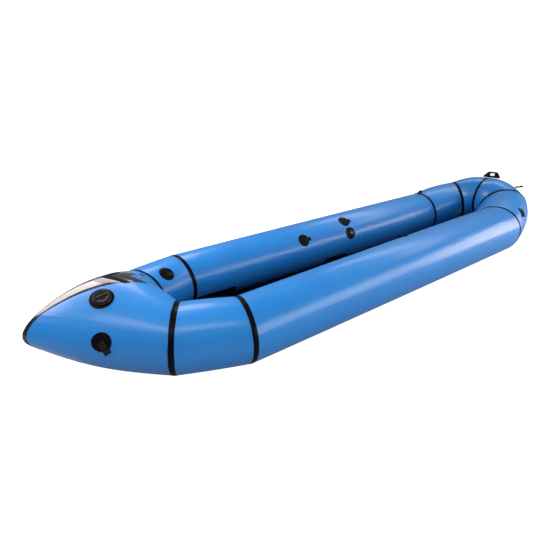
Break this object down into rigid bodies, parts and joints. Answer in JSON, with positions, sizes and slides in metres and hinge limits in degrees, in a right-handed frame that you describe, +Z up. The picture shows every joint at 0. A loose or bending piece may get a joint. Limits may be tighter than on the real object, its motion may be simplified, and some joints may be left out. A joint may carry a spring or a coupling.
{
  "type": "inflatable kayak",
  "caption": "Tandem packraft style inflatable kayak: looped fabric tube with pointed upswept bow, seam tapes, floor sheet, valves and webbing lash points.",
  "frame": {"origin": "on the ground under the middle of the boat, at the centre of its bounding box in plan", "axes": "+X from the bow to the stern, port side is -Y, +Z up"},
  "size_m": [3.814, 1.0368, 0.55],
  "materials": {
    "tube_fabric": "satin coated fabric",
    "seam_tape": "gloss",
    "patch": "gloss",
    "floor_fabric": "satin coated fabric",
    "webbing": "woven",
    "valve_plastic": "satin"
  },
  "bodies": {
    "hull": {"bow_anchor_patch": "patch", "bow_lash_patch_port": "patch", "bow_lash_patch_starboard": "patch", "bow_panel_port": "tube_fabric", "bow_panel_starboard": "tube_fabric", "bow_ridge_strip": "seam_tape", "bow_seam_tape_port": "seam_tape", "bow_seam_tape_starboard": "seam_tape", "bow_strap": "webbing", "cockpit_lash_patch_port": "patch", "cockpit_lash_patch_starboard": "patch", "corner_seam_tape_port": "seam_tape", "corner_seam_tape_starboard": "seam_tape", "elbow_lash_patch_port": "patch", "elbow_lash_patch_starboard": "patch", "elbow_seam_tape_port": "seam_tape", "elbow_seam_tape_starboard": "seam_tape", "elbow_tube_port": "tube_fabric", "elbow_tube_starboard": "tube_fabric", "floor_sheet": "floor_fabric", "floor_tab_port": "webbing", "floor_tab_starboard": "webbing", "keel_tape": "seam_tape", "main_valve_base": "valve_plastic", "main_valve_flap": "patch", "main_valve_patch": "patch", "main_valve_tether": "patch", "mouth_valve_base": "valve_plastic", "mouth_valve_patch": "patch", "quarter_seam_tape_port": "seam_tape", "quarter_seam_tape_starboard": "seam_tape", "quarter_top_tab": "webbing", "quarter_tube_port": "tube_fabric", "quarter_tube_starboard": "tube_fabric", "seat_patch_aft_port": "patch", "seat_patch_aft_starboard": "patch", "seat_patch_fore_port": "patch", "seat_patch_fore_starboard": "patch", "side_tube_port": "tube_fabric", "side_tube_starboard": "tube_fabric", "stern_seam_tape": "seam_tape", "stern_tube_port": "tube_fabric", "stern_tube_starboard": "tube_fabric", "top_lash_patch_port": "patch", "top_lash_patch_starboard": "patch"},
    "bow_lash_tab_port": {"bow_lash_tab_port": "webbing"},
    "bow_lash_tab_starboard": {"bow_lash_tab_starboard": "webbing"},
    "cockpit_lash_tab_port": {"cockpit_lash_tab_port": "webbing"},
    "cockpit_lash_tab_starboard": {"cockpit_lash_tab_starboard": "webbing"},
    "elbow_lash_tab_port": {"elbow_lash_tab_port": "webbing"},
    "elbow_lash_tab_starboard": {"elbow_lash_tab_starboard": "webbing"},
    "top_lash_tab_port": {"top_lash_tab_port": "webbing"},
    "top_lash_tab_starboard": {"top_lash_tab_starboard": "webbing"},
    "quarter_loop_port": {"quarter_loop_port": "webbing"},
    "quarter_loop_starboard": {"quarter_loop_starboard": "webbing"},
    "corner_tab": {"corner_tab": "webbing"},
    "stern_handle": {"stern_handle": "webbing"},
    "main_valve_cap": {"main_valve_cap": "valve_plastic"},
    "main_valve_insert": {"main_valve_insert": "valve_plastic"},
    "mouth_valve_knob": {"mouth_valve_knob": "valve_plastic"}
  },
  "joints": [
    {"name": "bow_lash_tab_port_swing", "type": "hinge", "parent": "hull", "child": "bow_lash_tab_port", "pos_m": [-1.68116, -0.20992, 0.24576], "axis": [-0.8107, 0.3463, -0.4721], "range_deg": [0, 120]},
    {"name": "bow_lash_tab_starboard_swing", "type": "hinge", "parent": "hull", "child": "bow_lash_tab_starboard", "pos_m": [-1.68116, 0.20992, 0.24576], "axis": [0.8107, 0.3463, 0.4721], "range_deg": [0, 120]},
    {"name": "cockpit_lash_tab_port_swing", "type": "hinge", "parent": "hull", "child": "cockpit_lash_tab_port", "pos_m": [-0.3057, -0.20059, 0.2642], "axis": [-0.0125, -0.6018, 0.7985], "range_deg": [0, 120]},
    {"name": "cockpit_lash_tab_starboard_swing", "type": "hinge", "parent": "hull", "child": "cockpit_lash_tab_starboard", "pos_m": [-0.3057, 0.20059, 0.2642], "axis": [0.0125, -0.6018, -0.7985], "range_deg": [0, 120]},
    {"name": "elbow_lash_tab_port_swing", "type": "hinge", "parent": "hull", "child": "elbow_lash_tab_port", "pos_m": [-1.25491, -0.18416, 0.27936], "axis": [0.3123, -0.8197, 0.4802], "range_deg": [0, 120]},
    {"name": "elbow_lash_tab_starboard_swing", "type": "hinge", "parent": "hull", "child": "elbow_lash_tab_starboard", "pos_m": [-1.25491, 0.18416, 0.27936], "axis": [-0.3123, -0.8197, -0.4802], "range_deg": [0, 120]},
    {"name": "top_lash_tab_port_swing", "type": "hinge", "parent": "hull", "child": "top_lash_tab_port", "pos_m": [0.11418, -0.24241, 0.31612], "axis": [0.165, -0.8366, 0.5224], "range_deg": [0, 120]},
    {"name": "top_lash_tab_starboard_swing", "type": "hinge", "parent": "hull", "child": "top_lash_tab_starboard", "pos_m": [0.11418, 0.24241, 0.31612], "axis": [-0.165, -0.8366, -0.5224], "range_deg": [0, 120]},
    {"name": "quarter_loop_port_swing", "type": "hinge", "parent": "hull", "child": "quarter_loop_port", "pos_m": [1.36817, -0.43121, 0.35574], "axis": [-0.933, 0.2577, 0.2513], "range_deg": [0, 110]},
    {"name": "quarter_loop_starboard_swing", "type": "hinge", "parent": "hull", "child": "quarter_loop_starboard", "pos_m": [1.36817, 0.43121, 0.35574], "axis": [0.933, 0.2577, -0.2513], "range_deg": [0, 110]},
    {"name": "corner_tab_swing", "type": "hinge", "parent": "hull", "child": "corner_tab", "pos_m": [1.68775, -0.2493, 0.45706], "axis": [-0.8651, 0.3762, 0.3319], "range_deg": [-40, 60]},
    {"name": "stern_handle_swing", "type": "hinge", "parent": "hull", "child": "stern_handle", "pos_m": [1.77892, 0, 0.49939], "axis": [0, 1, 0], "range_deg": [-40, 40]},
    {"name": "main_valve_cap_flip", "type": "hinge", "parent": "hull", "child": "main_valve_cap", "pos_m": [-1.5906, -0.1122, 0.3853], "axis": [0, 0.885, 0.4655], "range_deg": [0, 120]},
    {"name": "main_valve_insert_twist", "type": "hinge", "parent": "hull", "child": "main_valve_insert", "pos_m": [-1.62579, -0.10456, 0.37077], "axis": [-0.227, -0.4534, 0.8619], "range_deg": [0, 120]},
    {"name": "mouth_valve_knob_twist", "type": "hinge", "parent": "hull", "child": "mouth_valve_knob", "pos_m": [0.12166, 0.17713, 0.24013], "axis": [-0.0202, -0.9137, 0.4058], "range_deg": [0, 90]}
  ]
}
